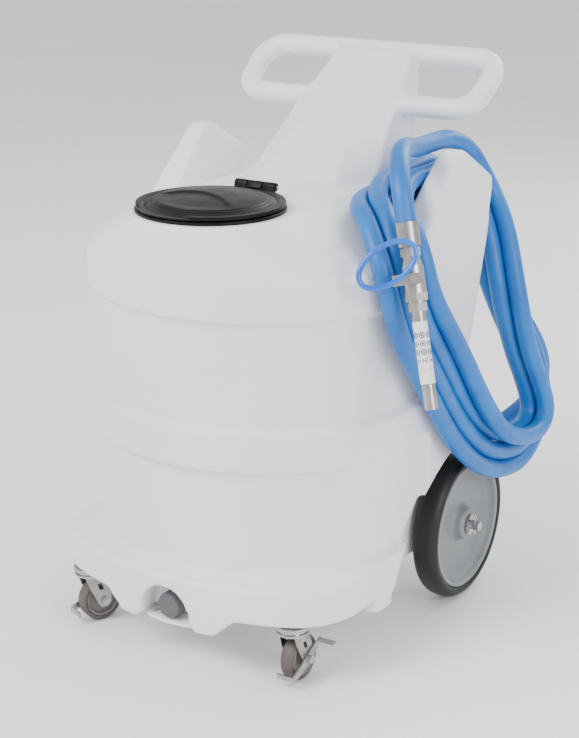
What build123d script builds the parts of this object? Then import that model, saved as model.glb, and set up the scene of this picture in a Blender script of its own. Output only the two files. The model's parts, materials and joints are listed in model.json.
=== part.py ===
from build123d import *
import math
import os

# Portable rotomoulded tank cart: lidded tank with a T handle, hose horns, two casters and two wheels.
# Lengths are millimetres. Drawing coordinates have y = 0 at the rear axle; AXLE_Y moves them so
# that the origin is under the middle of the cart, on the floor. Front is -Y, +X is the hose side.

# ---- driving dimensions ----
AXLE_Y = 156.0
AXLE_Z = 130.0
WALL = 7.0

HALF_WIDTH = 275.0
FLOOR_Z = 100.0          # underside of the skirt
SKIRT_TOP = 165.0
BAND_LOW = 335.0
BAND_HIGH = 400.0
SHOULDER_LOW = 571.0
SHOULDER_TOP = 632.0
DOME_TOP = 711.0
RECESS = 13.0            # how far the waist panels are set in
RECESS_REAR = -142.0     # where the waist panels end on each side
LABEL_DEPTH = 2.0
BASE_CUT = 150.0           # heights at which the moulding is cut into simpler stretches
DECK_CUT = 600.0
HANDLE_CUT = 780.0
HANDLE_CUT_X = 200.0
HORN_REAR = 30.0           # the horns' tops end in front of this

LID_Y = -351.0
LID_R = 110.0
RING_R = 117.0
MANWAY_R = 90.0
HINGE_Y = -226.0
HINGE_Z = 727.0
HINGE_PIN_R = 2.5

WHEEL_R = 130.0
RIM_R = 111.0
WHEEL_IN = 238.0         # inner side plane of a rear wheel
WHEEL_OUT = 284.0        # outer side plane of a rear wheel
AXLE_R = 8.0
AXLE_END = 303.0
PIN_X = 293.0            # where a split pin crosses the rear axle
PIN_R = 1.8
BUSH_R = 12.0
RUNNING = 0.05           # radial clearance of a running fit
BASE = (Align.CENTER, Align.CENTER, Align.MIN)

CASTER_X = 200.0
CASTER_Y = -432.0
CASTER_R = 37.5
CASTER_TRAIL = 18.0
CASTER_TURN = -22.0      # how far the left caster is swivelled, degrees
CASTER_BOLT_R = 4.0
STEM_R = 9.0

DRAIN_Z = 98.0
DRAIN_NICHE_Y = -452.0   # back of the niche around the drain
DRAIN_THREAD_R = 16.0
DRAIN_BORE_R = 11.0
OUTLET_X = 150.0
OUTLET_Z = 175.0
OUTLET_R = 17.0
OUTLET_WALL_Y = 40.0

HANDLE_R = 18.0
HANDLE_TOP = (168.0, 895.0)      # y, z of the grip bar's centre line
HANDLE_LOW = (72.0, 822.0)       # y, z of the lower bar's centre line

HOSE_R = 15.5
HOSE_BORE_R = 9.5

# Wand at the end of the hose: where its ferrule starts and where its open end is.
WAND_START = (307.0, -292.0, 717.0)
WAND_END = (380.0, -335.0, 454.0)
STEM_AIM = (0.54, -0.84, 0.0)    # way the shut-off valve's stem points before squaring to the wand
FERRULE_LENGTH = 36.0
VALVE_AT = 84.0          # distance of the ball's centre from the start of the ferrule
BALL_R = 11.0
WAND_BORE_R = 7.0
WAND_TUBE_R = 10.65
WAND_TIP_R = 9.9
LABEL_END = 238.0          # distance of the label's lower edge from the start of the ferrule
BARB_BORE_R = 7.0


# ---- helpers ----
def rod(start, end, radius):
    """Round bar between two points."""
    run = Vector(*end) - Vector(*start)
    return extrude(Plane(origin=start, z_dir=run) * Circle(radius), run.length)


def pipe(start, end, outer, inner):
    """Round tube between two points."""
    return rod(start, end, outer) - rod(start, end, inner)


def block(low, high):
    """Box given by its lowest and highest corners."""
    size = [b - a for a, b in zip(low, high)]
    middle = [(a + b) / 2 for a, b in zip(low, high)]
    return Pos(*middle) * Box(*size)


def side_prism(points, x_low, x_high):
    """Prism along X of a closed outline given as (y, z) points."""
    outline = Polyline(*[(x_low, y, z) for y, z in points], close=True)
    return extrude(make_face(outline), x_high - x_low, dir=(1, 0, 0))


def front_prism(points, y_low, y_high):
    """Prism along Y of a closed outline given as (x, z) points."""
    outline = Polyline(*[(x, y_low, z) for x, z in points], close=True)
    return extrude(make_face(outline), y_high - y_low, dir=(0, 1, 0))


def plan(z, nose, cheek, cheek_y, half, side_y, rear, inset=0.0):
    """Plan outline at height z: bowed nose, round cheeks, straight sides and a straight rear."""
    nose, rear, half = nose + inset, rear - inset, half - inset
    cheek, cheek_y = cheek - 0.5 * inset, cheek_y + 0.85 * inset
    bend = ((half - cheek) ** 2 + (side_y - cheek_y) ** 2) / (2 * (half - cheek))
    turn = math.asin((side_y - cheek_y) / bend) / 2
    mid_x = half - bend + bend * math.cos(turn)
    mid_y = side_y - bend * math.sin(turn)
    edges = [
        ThreePointArc((-cheek, cheek_y, z), (0, nose, z), (cheek, cheek_y, z)),
        ThreePointArc((cheek, cheek_y, z), (mid_x, mid_y, z), (half, side_y, z)),
        Line((half, side_y, z), (half, rear, z)),
        Line((half, rear, z), (-half, rear, z)),
        Line((-half, rear, z), (-half, side_y, z)),
        ThreePointArc((-half, side_y, z), (-mid_x, mid_y, z), (-cheek, cheek_y, z)),
    ]
    return make_face(edges)


def body_plan(z, inset=0.0):
    return plan(z, -480, 200, -405, HALF_WIDTH, -235, 140, inset)


def skirt_plan(z, inset=0.0):
    return plan(z, -498, 190, -462, 270, -350, -150, inset)


def dome_plan(z, inset=0.0):
    return plan(z, LID_Y - 125, 88, LID_Y - 88, 125, LID_Y, 62, inset)


def prism_up(face, height):
    return extrude(face, height, dir=(0, 0, 1))


# ---- tank ----
# Rear face of the tank as (y, z) points, seen from the side.
REAR_LINE = [(40, FLOOR_Z), (40, 215), (-36, 330), (80, 725)]


def side_envelope(inset=0.0):
    """Everything in front of the rear face, as a prism across the whole width."""
    rear = [(y - inset, z) for y, z in REAR_LINE]
    points = [(-600, FLOOR_Z - 60), (rear[0][0], FLOOR_Z - 60), *rear, (rear[-1][0], 960), (-600, 960)]
    return side_prism(points, -400, 400)


def wheel_well(side, inset=0.0):
    """Room for a rear wheel on one side, arched in front of the tyre."""
    inner = 230 - inset
    arch = ThreePointArc(
        (side * inner, -252 - inset, 60),
        (side * inner, -157 - inset, 215 + inset),
        (side * inner, -58 - inset, 274 + inset),
    )
    rest = Polyline(
        (side * inner, -58 - inset, 274 + inset),
        (side * inner, 300, 274 + inset),
        (side * inner, 300, 60),
        (side * inner, -252 - inset, 60),
    )
    return extrude(make_face([arch, rest]), 200, dir=(side, 0, 0))


def waist_cutter(low, high, depth, corner):
    """Ring that sets one waist panel into the body in front of RECESS_REAR."""
    ring = prism_up(plan(low, -560, 280, -480, 360, -235, 200), high - low)
    ring -= prism_up(body_plan(low, depth), high - low)
    window = block((-400, -600, low), (400, RECESS_REAR, high))
    edges = window.edges().filter_by(Axis.X).group_by(Axis.Y)[-1].sort_by(Axis.Z)
    window = fillet(edges[:1], corner)
    return ring & window


def pylon_section(z, front_half, front_y, side_half, side_y, rear_y, inset=0.0):
    points = [
        (-front_half + inset * 0.6, front_y + inset, z),
        (front_half - inset * 0.6, front_y + inset, z),
        (side_half - inset, side_y + inset * 0.5, z),
        (side_half - inset, rear_y - inset, z),
        (-side_half + inset, rear_y - inset, z),
        (-side_half + inset, side_y + inset * 0.5, z),
    ]
    return make_face(Polyline(*points, close=True))


def pylon(inset=0.0):
    """Handle post: narrow nose in front, wider flanks behind, leaning back to the grip bar."""
    # height, nose half width, nose y, flank half width, flank y, rear y
    levels = [
        (645, 100, -190, 140, -140, 50),
        (700, 80, -122, 124, -68, 68),
        (740, 67, -83, 115, -32, 90),
        (780, 52, -37, 104, 6, 108),
        (820, 40, 13, 97, 50, 128),
        (860, 30, 62, 84, 98, 152),
        (902, 25, 128, 74, 148, 180),
    ]
    if inset:
        levels = levels[:-1]
    return loft([pylon_section(*row, inset=inset) for row in levels], ruled=True)


def handle_loop(side, radius):
    """One grip loop: bar out along the top, round the end and back along the lower bar."""
    top_y, top_z = HANDLE_TOP
    low_y, low_z = HANDLE_LOW
    path = FilletPolyline(
        (0, top_y, top_z),
        (side * 232, top_y, top_z),
        (side * 224, low_y, low_z),
        (0, low_y, low_z),
        radius=[42, 42],
    )
    section = Plane(origin=(0, top_y, top_z), z_dir=(side, 0, 0)) * Circle(radius)
    return sweep(section, path=path)


def horn(side):
    """Fin that rises from the shoulder beside the pylon and holds a coil of hose."""
    peak = ThreePointArc((215, -58, 764), (215, -38, 776), (215, -12, 774))
    edge = Polyline((215, -12, 774), (215, 140, 683), (215, 140, 610), (215, -212, 610), (215, -58, 764))
    outer = HALF_WIDTH - 1
    fin = extrude(make_face([peak, edge]), outer - 215, dir=(1, 0, 0)) & side_envelope()
    outer_lean = [(outer, 630), (262, 800), (320, 800), (320, 600), (outer, 600)]
    inner_lean = [(200, 620), (212, 620), (231, 800), (200, 800)]
    fin = fin - front_prism(outer_lean, -300, 200) - front_prism(inner_lean, -300, 200)
    crown = fin.edges().filter_by(lambda e: e.center().Z > 700 and e.center().X > 232)
    fin = fillet(crown.filter_by(lambda e: e.length > 30), 7)
    return fin if side > 0 else mirror(fin, about=Plane.YZ)


def chin():
    """Front feet and the wall that frames the drain."""
    points = [
        (-128, FLOOR_Z + 20), (-122, FLOOR_Z), (-88, 70), (-55, 70), (-50, 82),
        (50, 82), (55, 70), (88, 70), (122, FLOOR_Z), (128, FLOOR_Z + 20),
    ]
    slab = front_prism(points, -498, -440)
    return slab & prism_up(skirt_plan(60), 80)


def rear_foot(side):
    """Foot in front of a rear wheel."""
    foot = block((min(side * 236, side * 270), -292, 74), (max(side * 236, side * 270), -238, FLOOR_Z + 10))
    return fillet(foot.edges().filter_by(Axis.Z), 9)


def saddle_trough(side, inset=0.0):
    """Valley between the pylon and one horn, where a coil of hose lies; it falls to the rear."""
    points = [(127, 760), (127, 725), (138, 676), (150, 664), (200, 662), (212, 672), (219, 725), (219, 760)]
    middle = 175
    grown = [(side * (x + (inset if x > middle else -inset)), z - inset) for x, z in points]
    valley = front_prism(grown, 0, 330)
    return Pos(0, -150, 682) * Rot(-7.3, 0, 0) * Pos(0, 0, -664) * valley


def sump(inset=0.0):
    """Low well behind the drain, so that the tank empties."""
    return block((-45 + inset, DRAIN_NICHE_Y + 2 * inset, 76 + inset), (45 - inset, -372 - inset, FLOOR_Z + 12))


def outer_form():
    body = prism_up(body_plan(FLOOR_Z), SHOULDER_TOP - FLOOR_Z)
    body -= waist_cutter(SKIRT_TOP, BAND_LOW, RECESS, 80)
    body -= waist_cutter(BAND_HIGH, SHOULDER_LOW, RECESS - 2, 20)
    body += prism_up(skirt_plan(FLOOR_Z), SKIRT_TOP - 6 - FLOOR_Z)
    body += loft([body_plan(SHOULDER_TOP), dome_plan(DOME_TOP)], ruled=True)
    body = (body & side_envelope()) - wheel_well(1) - wheel_well(-1)
    body = body - saddle_trough(1) - saddle_trough(-1)
    body = body + chin() + sump() + rear_foot(1) + rear_foot(-1) + horn(1) + horn(-1)
    return body + pylon() + handle_loop(1, HANDLE_R) + handle_loop(-1, HANDLE_R)


def inner_form():
    """Hollow inside: body, dome and pylon."""
    waist = RECESS + WALL
    hollow = prism_up(body_plan(FLOOR_Z + WALL, waist), SHOULDER_TOP - FLOOR_Z - WALL)
    hollow += loft([body_plan(SHOULDER_TOP, waist), dome_plan(DOME_TOP - WALL, WALL + 2)], ruled=True)
    hollow = (hollow & side_envelope(WALL)) - wheel_well(1, WALL) - wheel_well(-1, WALL)
    hollow -= rod((-300, 0, AXLE_Z), (300, 0, AXLE_Z), AXLE_R + WALL)
    hollow -= block((-60, -520, 60), (60, DRAIN_NICHE_Y + 2 * WALL, 145))
    hollow = hollow - saddle_trough(1, WALL) - saddle_trough(-1, WALL)
    return hollow + pylon(WALL) + sump(WALL)


def label_panel():
    """Shallow rectangular panel on the front of the upper waist."""
    depth = RECESS - 2
    skin = prism_up(body_plan(427, depth - 1), 133) - prism_up(body_plan(427, depth + LABEL_DEPTH), 133)
    window = block((-122, -600, 427), (122, -300, 560))
    return skin & fillet(window.edges().filter_by(Axis.Y), 12)


def drain_niche():
    """Arched niche at the foot of the front wall."""
    arch = rod((0, -520, 90), (0, -452, 90), 46)
    return arch + block((-46, -520, 82), (46, -452, 90)) - block((-60, -520, 40), (60, -450, 82))


def tank_shell():
    shell = outer_form() - inner_form()
    shell -= label_panel()
    shell -= drain_niche()
    shell -= rod((0, LID_Y, 640), (0, LID_Y, 740), MANWAY_R)
    shell -= rod((-300, 0, AXLE_Z), (300, 0, AXLE_Z), AXLE_R + RUNNING)
    shell -= rod((0, -470, DRAIN_Z), (0, -420, DRAIN_Z), DRAIN_BORE_R + 2)
    shell -= rod((OUTLET_X, 0, OUTLET_Z), (OUTLET_X, 60, OUTLET_Z), OUTLET_R + RUNNING)
    for side in (1, -1):
        foot = (side * CASTER_X, CASTER_Y, FLOOR_Z)
        shell += rod(foot, (foot[0], foot[1], FLOOR_Z + 44), STEM_R + 8)
        shell -= rod(foot, (foot[0], foot[1], FLOOR_Z + 36), STEM_R)
    return shell


def tank_pieces():
    """The one-piece moulding cut into four simpler stretches that meet face to face."""
    shell = tank_shell()
    base = block((-400, -600, 0), (400, 400, BASE_CUT))
    wall = block((-400, -600, BASE_CUT), (400, 400, DECK_CUT))
    above = block((-400, -600, DECK_CUT), (400, 400, 1000))
    handle = block((-HANDLE_CUT_X, -250, HANDLE_CUT), (HANDLE_CUT_X, 400, 1000))
    handle += block((-400, HORN_REAR, HANDLE_CUT), (400, 400, 1000))
    yield "tank_base", shell & base
    yield "tank_wall", shell & wall
    yield "tank_deck", shell & (above - handle)
    yield "tank_handle", shell & handle


# ---- lid ----
def lid_ring():
    """Filler ring: flange on the deck, neck in the hole, seat for the gasket and outer hinge ears."""
    deck = DOME_TOP
    ring = pipe((0, LID_Y, deck), (0, LID_Y, deck + 5), RING_R, MANWAY_R - 6)
    ring += pipe((0, LID_Y, deck - 9), (0, LID_Y, deck), MANWAY_R - 0.1, MANWAY_R - 6)
    foot = block((-38, LID_Y + 106, deck), (38, HINGE_Y + 7, deck + 5))
    ring += foot
    for side in (1, -1):
        low, high = sorted((side * 14.5, side * 38))
        ring += block((low, HINGE_Y - 7, deck + 2), (high, HINGE_Y + 7, HINGE_Z))
        ring += rod((low, HINGE_Y, HINGE_Z), (high, HINGE_Y, HINGE_Z), 7)
    return ring - rod((-40, HINGE_Y, HINGE_Z), (40, HINGE_Y, HINGE_Z), HINGE_PIN_R + RUNNING)


def lid_cover():
    """Domed cover with a flat rim, a finger tab in front and the middle hinge ear."""
    rim_low, rim_high = DOME_TOP + 7.5, DOME_TOP + 13
    profile = Polyline(
        (0, rim_high + 10), (0, rim_high + 14), (58, rim_high + 12.5), (90, rim_high + 7), (97, rim_high + 1.5),
        (LID_R, rim_high), (LID_R, rim_low), (86, rim_low), (84, rim_high + 3), (56, rim_high + 8.5),
        close=True,
    )
    turned = revolve(make_face(Plane.XZ * profile), Axis.Z, 360)
    cover = Pos(0, LID_Y, 0) * turned
    tab = block((-55, LID_Y - LID_R - 9, rim_low), (48, LID_Y - 80, rim_low + 4))
    cover += fillet(tab.edges().filter_by(Axis.Z), 8) - rod((0, LID_Y, 700), (0, LID_Y, 760), 100)
    cover += block((-13.5, LID_Y + 100, rim_low), (13.5, HINGE_Y - 2, rim_high))
    cover += rod((-13.5, HINGE_Y, HINGE_Z), (13.5, HINGE_Y, HINGE_Z), 7)
    return cover - rod((-40, HINGE_Y, HINGE_Z), (40, HINGE_Y, HINGE_Z), HINGE_PIN_R + RUNNING)


def lid_gasket():
    return pipe((0, LID_Y, DOME_TOP + 5), (0, LID_Y, DOME_TOP + 7.5), 97, 87)


def lid_hinge_pin():
    return rod((-41, HINGE_Y, HINGE_Z), (41, HINGE_Y, HINGE_Z), HINGE_PIN_R)


# ---- drain ----
def drain_spigot():
    """Threaded outlet in the niche, set in the front wall of the sump."""
    back = DRAIN_NICHE_Y
    spigot = pipe((0, back - 22, DRAIN_Z), (0, back, DRAIN_Z), DRAIN_THREAD_R, DRAIN_BORE_R)
    return spigot + pipe((0, back, DRAIN_Z), (0, back + 14, DRAIN_Z), DRAIN_BORE_R + 2, DRAIN_BORE_R)


def drain_cap():
    """Round cap with a knurled skirt."""
    front = DRAIN_NICHE_Y - 31
    cap = rod((0, front, DRAIN_Z), (0, front + 24, DRAIN_Z), 21)
    cap = fillet(cap.edges().group_by(Axis.Y)[0], 3)
    cap -= rod((0, front + 5, DRAIN_Z), (0, front + 24, DRAIN_Z), DRAIN_THREAD_R + RUNNING)
    grooves = [
        Pos(21.6 * math.sin(turn), 0, 21.6 * math.cos(turn) + DRAIN_Z) for turn in steps(20)
    ]
    return cap - [place * rod((0, front + 6, 0), (0, front + 24, 0), 1.4) for place in grooves]


def drain_washer():
    front = DRAIN_NICHE_Y - 26
    return pipe((0, front, DRAIN_Z), (0, front + 4, DRAIN_Z), DRAIN_THREAD_R - 0.2, DRAIN_BORE_R)


# ---- hose outlet of the tank ----
def outlet_at(low, high, outer, inner):
    return pipe((OUTLET_X, low, OUTLET_Z), (OUTLET_X, high, OUTLET_Z), outer, inner)


def hexagon(flats, low, high, bore):
    """Hexagonal nut along Z in its own coordinates."""
    nut = extrude(RegularPolygon(flats / math.sqrt(3), 6), high - low)
    return Pos(0, 0, low) * nut - rod((0, 0, low), (0, 0, high), bore)


def along_outlet(shape):
    return Plane(origin=(OUTLET_X, 0, OUTLET_Z), x_dir=(1, 0, 0), z_dir=(0, 1, 0)) * shape


def outlet_bushing():
    """Bulkhead barrel through the rear wall, flanged inside the tank."""
    inner_face = OUTLET_WALL_Y - WALL
    barrel = outlet_at(inner_face - 8, 62, OUTLET_R, BARB_BORE_R + 3)
    return barrel + outlet_at(inner_face - 8, inner_face - 3, 27, BARB_BORE_R + 3)


def outlet_gasket():
    inner_face = OUTLET_WALL_Y - WALL
    return outlet_at(inner_face - 3, inner_face, 25, OUTLET_R + RUNNING)


def outlet_locknut():
    return along_outlet(hexagon(46, OUTLET_WALL_Y, OUTLET_WALL_Y + 9, OUTLET_R + RUNNING))


def hose_barb():
    """Tail that screws into the barrel and carries the hose on ribs."""
    tail = along_outlet(hexagon(30, 62, 68, BARB_BORE_R))
    tail += outlet_at(50, 62, BARB_BORE_R + 3, BARB_BORE_R)
    tail += outlet_at(68, 98, HOSE_BORE_R - 0.4, BARB_BORE_R)
    for rib in (72, 80, 88):
        tail += outlet_at(rib, rib + 3, HOSE_BORE_R, BARB_BORE_R)
    return tail


def hose_clamp():
    band = outlet_at(74, 87, HOSE_R + 1.4, HOSE_R)
    lug = block((OUTLET_X - 7, 74, OUTLET_Z + HOSE_R + 1), (OUTLET_X + 7, 87, OUTLET_Z + HOSE_R + 9))
    return band + lug


# ---- hose ----
LEAD_ROUTE = [
    (150, 68, 175), (150, 128, 175), (164, 196, 184), (205, 246, 214),
    (258, 262, 264), (290, 240, 326), (300, 180, 366),
]
TAIL_ROUTE = [
    (190, 34, 722), (198, -26, 745), (209, -88, 774), (226, -148, 798), (248, -203, 804),
    (268, -244, 794), (285, -272, 774),
]

# Coil over the saddle: x, y, z of its middle, half width in its own plane, half thickness across it.
COIL_STATIONS = [
    (176, -20, 720, 38, 38),
    (178, -115, 724, 36, 36),
    (204, -190, 712, 28, 32),
    (256, -245, 696, 36, 19),
    (294, -271, 642, 43, 15.5),
    (299, -249, 560, 56, 18),
    (299, -159, 456, 64, 18),
    (301, -84, 362, 64, 18),
    (308, -12, 296, 58, 20),
    (313, 60, 264, 48, 23),
    (316, 130, 258, 44, 26),
    (314, 176, 292, 42, 26),
    (304, 165, 352, 42, 26),
    (290, 128, 430, 42, 28),
    (264, 106, 520, 42, 30),
    (226, 114, 612, 40, 34),
    (184, 102, 690, 36, 36),
    (174, 50, 728, 38, 38),
]


def corner_radii(route):
    """Largest tangent arc at each corner of a route: 0.45 of the shorter run over tan(half turn)."""
    points = [Vector(*p) for p in route]
    radii = []
    for before, here, after in zip(points, points[1:], points[2:]):
        first, second = here - before, after - here
        half_turn = math.radians(first.get_angle(second) / 2)
        radii.append(0.45 * min(first.length, second.length) / math.tan(half_turn))
    return radii


def hose(route, name):
    """Hose of annular section along straight runs joined by tangent arcs."""
    radii = corner_radii(route)
    path = FilletPolyline(*route, radius=radii)
    start = Plane(origin=route[0], z_dir=Vector(*route[1]) - Vector(*route[0]))
    tube = sweep(start * (Circle(HOSE_R) - Circle(HOSE_BORE_R)), path=path)
    ideal = math.pi * (HOSE_R ** 2 - HOSE_BORE_R ** 2) * path.length
    print(name, "length", round(path.length), "radii", [round(r) for r in radii], "fill", tube.volume / ideal)
    return tube


def coil_section(index):
    """Eight-sided section of the coil, square to its middle line."""
    count = len(COIL_STATIONS)
    x, y, z, wide, thick = COIL_STATIONS[index % count]
    before = Vector(*COIL_STATIONS[(index - 1) % count][:3])
    after = Vector(*COIL_STATIONS[(index + 1) % count][:3])
    tangent = (after - before).normalized()
    across = tangent.cross(Vector(1, 0, 0)).normalized()
    outward = across.cross(tangent)
    corners = [(1, 0.42), (0.42, 1), (-0.42, 1), (-1, 0.42), (-1, -0.42), (-0.42, -1), (0.42, -1), (1, -0.42)]
    middle = Vector(x, y, z)
    points = [middle + across * (wide * a) + outward * (thick * b) for a, b in corners]
    return make_face(Polyline(*points, close=True))


def hose_coil():
    """Closed solid of the outer shape of the wound hose."""
    count = len(COIL_STATIONS)
    span = count // 2
    halves = [
        loft([coil_section(i) for i in range(start, start + span + 1)], ruled=True)
        for start in (0, span)
    ]
    length = sum(
        (Vector(*COIL_STATIONS[(i + 1) % count][:3]) - Vector(*COIL_STATIONS[i][:3])).length
        for i in range(count)
    )
    print("coil middle line", round(length))
    return halves[0] + halves[1]


# ---- wand ----
WAND_RUN = Vector(*WAND_END) - Vector(*WAND_START)
WAND_AIM = WAND_RUN.normalized()
STEM_DIR = (Vector(*STEM_AIM) - WAND_AIM * Vector(*STEM_AIM).dot(WAND_AIM)).normalized()
WAND = Plane(origin=WAND_START, x_dir=STEM_DIR, z_dir=WAND_AIM)


def wand_point(distance):
    """Point on the wand's axis, measured from the start of the ferrule."""
    return tuple(Vector(*WAND_START) + WAND_AIM * distance)


def sleeve(low, high, outer, inner):
    return pipe((0, 0, low), (0, 0, high), outer, inner)


def hose_ferrule():
    cup = sleeve(0, FERRULE_LENGTH - 3, 17.6, HOSE_R) + sleeve(FERRULE_LENGTH - 3, FERRULE_LENGTH, 17.6, WAND_BORE_R)
    return WAND * (cup + sleeve(FERRULE_LENGTH, 48, 9, WAND_BORE_R))


def swivel_nut():
    return WAND * (hexagon(29, 38, 50, 9 + RUNNING) + sleeve(50, 57, 13.5, 10.6))


def valve_inlet():
    return WAND * (sleeve(50.1, 62, 10.5, WAND_BORE_R) + sleeve(57.2, 64, 15, WAND_BORE_R))


def valve_body():
    """Barrel of the ball valve with a neck for its stem."""
    barrel = sleeve(64, 104, 16.5, WAND_BORE_R) + Pos(0, 0, VALVE_AT) * Rot(0, 90, 0) * Cylinder(9, 21, align=BASE)
    barrel -= Pos(0, 0, VALVE_AT) * Sphere(BALL_R + 2)
    barrel -= Pos(0, 0, VALVE_AT) * Rot(0, 90, 0) * Cylinder(4 + RUNNING, 30, align=BASE)
    return WAND * barrel


def valve_seats():
    """Two plastic rings that hold the ball."""
    ring = Pos(0, 0, VALVE_AT) * Sphere(BALL_R + 2) - Pos(0, 0, VALVE_AT) * Sphere(BALL_R + RUNNING)
    keep = block((-20, -20, VALVE_AT - 13), (20, 20, VALVE_AT - 6.5)) + block(
        (-20, -20, VALVE_AT + 6.5), (20, 20, VALVE_AT + 13)
    )
    return WAND * ((ring & keep) - rod((0, 0, 60), (0, 0, 110), WAND_BORE_R))


def valve_ball():
    """Ball with its stem; the bore lies across the flow while the valve is shut."""
    ball = Pos(0, 0, VALVE_AT) * Sphere(BALL_R) - rod((0, -20, VALVE_AT), (0, 20, VALVE_AT), WAND_BORE_R)
    stem = Pos(0, 0, VALVE_AT) * Rot(0, 90, 0) * Cylinder(4, 31, align=BASE)
    return WAND * ((ball + stem) - rod((0, -20, VALVE_AT), (0, 20, VALVE_AT), WAND_BORE_R))


def valve_handle():
    """Flat arm on the stem with an oval finger loop of wire."""
    arm = block((26, -9, VALVE_AT - 9), (29, 32, VALVE_AT + 7))
    arm += Pos(25.5, 0, VALVE_AT) * Rot(0, 90, 0) * Cylinder(8, 4, align=BASE)
    return WAND * (arm - Pos(0, 0, VALVE_AT) * Rot(0, 90, 0) * Cylinder(4 + RUNNING, 40, align=BASE))


def handle_nut():
    nut = Pos(29.6, 0, VALVE_AT) * Rot(0, 90, 0) * hexagon(13, 0, 4, 4 + RUNNING)
    return WAND * nut


def handle_loop_grip():
    """Vinyl-covered oval loop."""
    middle = (27.5, 36, VALVE_AT - 26)
    face = Plane(origin=middle, x_dir=(0, 1, 0.5), z_dir=(1, 0, 0))
    outer = extrude(face * Ellipse(50, 30), 4.2, both=True)
    return WAND * (outer - extrude(face * Ellipse(41.5, 21.5), 5, both=True))


def union_nut():
    return WAND * (hexagon(33, 104, 116, WAND_BORE_R) + sleeve(116, 119, 13.5, WAND_BORE_R))


def reducer_nut():
    return WAND * hexagon(27, 119, 131, WAND_BORE_R)


def wand_tube():
    """Tube with a slightly reduced outlet end that starts where the label stops."""
    tube = sleeve(131, LABEL_END, WAND_TUBE_R, WAND_TUBE_R - 2.2)
    return WAND * (tube + sleeve(LABEL_END, WAND_RUN.length, WAND_TIP_R, WAND_TUBE_R - 2.2))


def wand_label():
    return WAND * sleeve(146, LABEL_END, WAND_TUBE_R + 0.4, WAND_TUBE_R)


# ---- rear axle and wheels ----
def rear_axle():
    axle = rod((-AXLE_END, 0, AXLE_Z), (AXLE_END, 0, AXLE_Z), AXLE_R)
    for side in (1, -1):
        axle -= rod((side * PIN_X, 0, AXLE_Z - 12), (side * PIN_X, 0, AXLE_Z + 12), PIN_R + RUNNING)
    return axle


def across_axle(side, low, high, outer, inner):
    return pipe((side * low, 0, AXLE_Z), (side * high, 0, AXLE_Z), outer, inner)


def axle_spacers():
    return [across_axle(side, 230, WHEEL_IN - 0.5, 14, AXLE_R + RUNNING) for side in (1, -1)]


def axle_washers():
    return [across_axle(side, WHEEL_OUT + 0.5, WHEEL_OUT + 3, 18, AXLE_R + RUNNING) for side in (1, -1)]


def cotter_pins():
    """Split pins: straight shank through the axle with an eye above."""
    pins = []
    for side in (1, -1):
        shank = rod((side * PIN_X, 0, AXLE_Z - 16), (side * PIN_X, 0, AXLE_Z + 11), PIN_R)
        pins.append(shank + Pos(side * PIN_X, 0, AXLE_Z + 14) * Rot(0, 90, 0) * Torus(4, PIN_R))
    return pins


def wheel_hub(side):
    """Rim, plain dished web and low boss."""
    middle = (WHEEL_IN + WHEEL_OUT) / 2
    hub = across_axle(side, WHEEL_IN + 3, WHEEL_OUT - 3, RIM_R, RIM_R - 8)
    hub += across_axle(side, middle - 4, middle + 4, RIM_R - 4, BUSH_R)
    hub += across_axle(side, WHEEL_IN, WHEEL_OUT, 30, BUSH_R)
    return hub


def wheel_tyre(side):
    tyre = across_axle(side, WHEEL_IN, WHEEL_OUT, WHEEL_R, RIM_R)
    shoulders = tyre.edges().filter_by(lambda e: e.geom_type == GeomType.CIRCLE and e.radius > WHEEL_R - 1)
    return fillet(shoulders, 8)


def wheel_bush(side):
    return across_axle(side, WHEEL_IN, WHEEL_OUT, BUSH_R, AXLE_R + RUNNING)


# ---- casters ----
def at_caster(side, shape, swivelled=True):
    """Place a shape made with the swivel on Z at x = y = 0 and the outer side at +X."""
    turned = shape if side > 0 else mirror(shape, about=Plane.YZ)
    if swivelled and side < 0:
        turned = Rot(0, 0, CASTER_TURN) * turned
    return Pos(side * CASTER_X, CASTER_Y, 0) * turned


def caster_stem():
    """Threaded stem with the fixed race cap, riveted over below the fork."""
    stem = rod((0, 0, FLOOR_Z), (0, 0, FLOOR_Z + 34), STEM_R - 0.05)
    stem += rod((0, 0, 93), (0, 0, FLOOR_Z), 26)
    stem += rod((0, 0, 84), (0, 0, 93), 5)
    return stem + rod((0, 0, 81), (0, 0, 84), 8)


def caster_race():
    """Ring of balls between the cap and the fork."""
    race = pipe((0, 0, 89.6), (0, 0, 92.9), 22, 12)
    return race


def caster_fork():
    """Pressed steel yoke."""
    yoke = pipe((0, 0, 86), (0, 0, 89.5), 25, 5 + RUNNING)
    cheek_points = [(-17, 88), (19, 88), (30, 58), (30, 34), (24, 26), (12, 26), (6, 34), (-8, 62)]
    slot = [(4, 70), (12, 70), (17, 58), (9, 58)]
    for low, high in ((14, 17), (-17, -14)):
        cheek = side_prism(cheek_points, low, high) - side_prism(slot, low, high)
        yoke += cheek
    return yoke - caster_line(-20, 20, CASTER_BOLT_R + RUNNING)


def caster_line(low, high, radius, inner=0.0):
    """Round piece on the caster wheel's own axis."""
    piece = rod((low, CASTER_TRAIL, CASTER_R), (high, CASTER_TRAIL, CASTER_R), radius)
    if inner:
        piece -= rod((low, CASTER_TRAIL, CASTER_R), (high, CASTER_TRAIL, CASTER_R), inner)
    return piece


def caster_bolt():
    """Hexagon bolt that is the caster's axle."""
    head = Plane(origin=(20.4, CASTER_TRAIL, CASTER_R), z_dir=(1, 0, 0)) * hexagon(13, 0, 5, 0.5)
    return caster_line(-24, 21, CASTER_BOLT_R) + head


def caster_nut():
    return Plane(origin=(-22.5, CASTER_TRAIL, CASTER_R), z_dir=(1, 0, 0)) * hexagon(13, 0, 5.4, CASTER_BOLT_R + RUNNING)


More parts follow.
